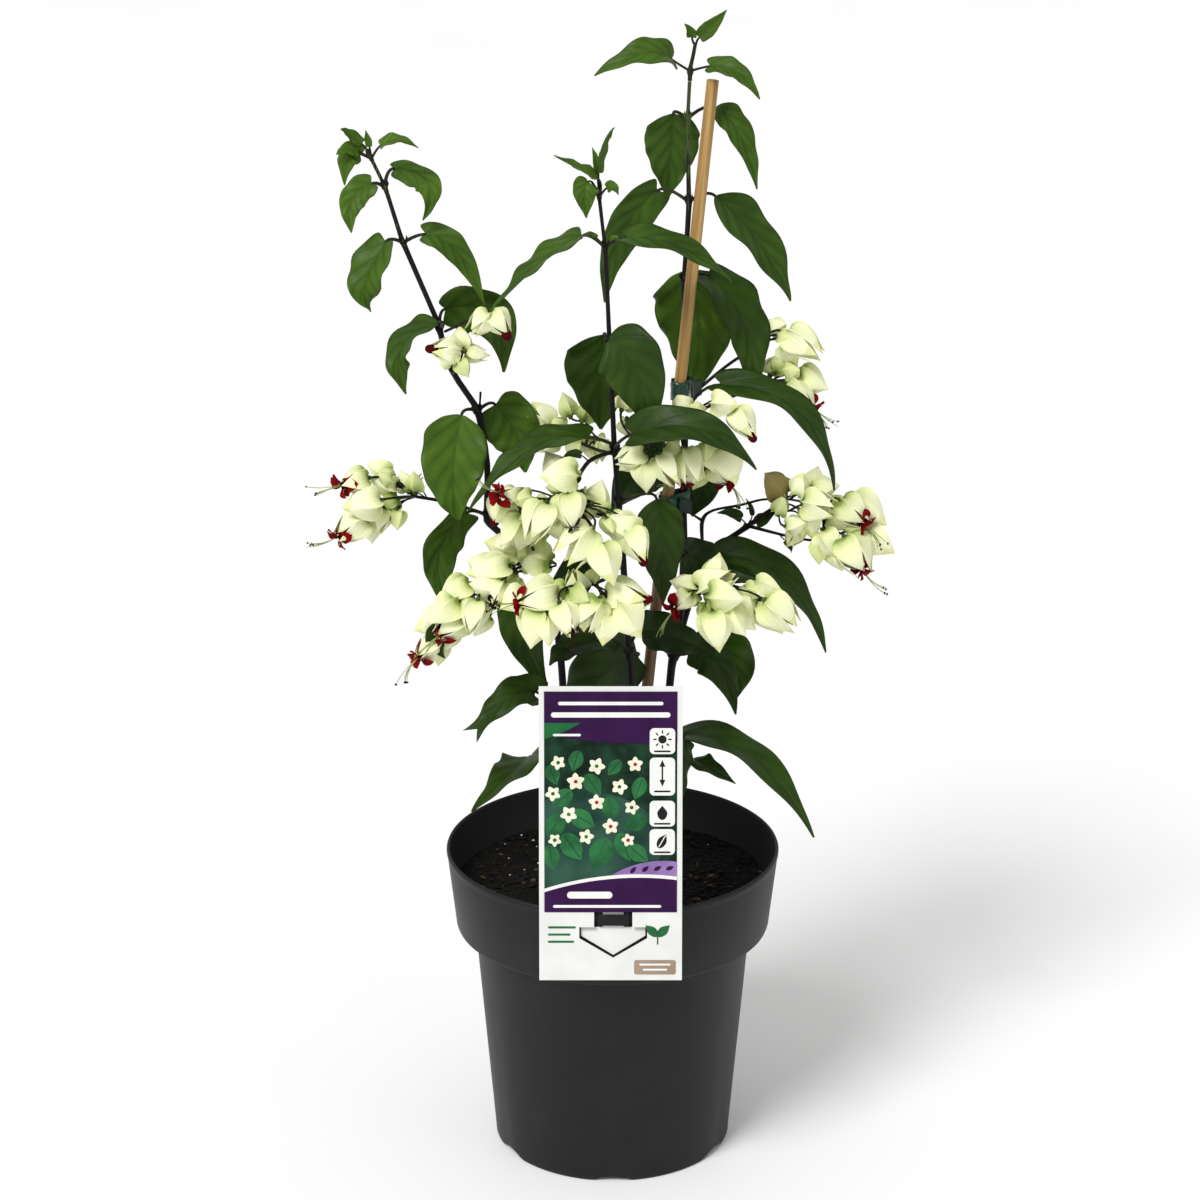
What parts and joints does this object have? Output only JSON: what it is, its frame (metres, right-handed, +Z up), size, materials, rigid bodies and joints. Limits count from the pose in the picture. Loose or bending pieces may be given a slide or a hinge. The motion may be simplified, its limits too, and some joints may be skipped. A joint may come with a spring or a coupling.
{
  "type": "potted bleeding heart vine",
  "caption": "Young flowering climbing vine with dark stems, drooping heart-based leaves and clusters of white bag-like blooms, tied to a stake in a round nursery pot with a hanging label.",
  "frame": {"origin": "centre of the flat pad in the middle of the pot's underside, where it rests", "axes": "+Z up along the pot's axis, +Y away from the label side, +X to the viewer's right when looking at the label"},
  "size_m": [0.3436, 0.211, 0.6893],
  "materials": {
    "pot": "matte",
    "soil": "matte",
    "stake": "satin",
    "tie": "satin",
    "label": "satin",
    "stem": "satin",
    "leaf": "satin",
    "shoot": "satin",
    "bloom": "matte"
  },
  "bodies": {
    "root": {"pot": "pot", "soil": "soil", "stake": "stake", "tie_upper": "tie", "tie_lower": "tie", "label": "label", "stem_left": "stem", "stem_centre": "stem", "stem_right": "stem", "shoot_left": "shoot", "shoot_centre": "shoot", "shoot_right": "shoot", "shoot_low_right": "leaf", "leaf_left_3a": "leaf", "leaf_left_3b": "leaf", "leaf_left_4a": "leaf", "leaf_left_4b": "leaf", "leaf_left_5a": "leaf", "leaf_left_5b": "leaf", "leaf_left_6a": "leaf", "leaf_left_6b": "leaf", "leaf_left_7": "leaf", "leaf_low_left_a": "leaf", "leaf_low_left_b": "leaf", "leaf_low_left_c": "leaf", "leaf_centre_3a": "leaf", "leaf_centre_3b": "leaf", "leaf_centre_4a": "leaf", "leaf_centre_4b": "leaf", "leaf_centre_5a": "leaf", "leaf_centre_5b": "leaf", "leaf_centre_6": "leaf", "leaf_centre_7a": "leaf", "leaf_centre_7b": "leaf", "leaf_centre_7c": "leaf", "leaf_right_3a": "leaf", "leaf_right_3b": "leaf", "leaf_right_4a": "leaf", "leaf_right_4b": "leaf", "leaf_right_5a": "leaf", "leaf_right_5b": "leaf", "leaf_right_6": "leaf", "leaf_right_6b": "leaf", "leaf_right_6c": "leaf", "leaf_right_7": "leaf", "leaf_right_8": "leaf", "leaf_right_10": "leaf", "leaf_right_11": "leaf", "bloom_left_top": "bloom", "bloom_left_high": "bloom", "bloom_left": "bloom", "bloom_mid": "bloom", "bloom_front": "bloom", "bloom_low_left": "bloom", "bloom_right_mid": "bloom", "bloom_low_right": "bloom", "bloom_right": "bloom", "bloom_right_top": "bloom", "bloom_right_up": "bloom", "bloom_tie": "bloom"}
  },
  "joints": []
}
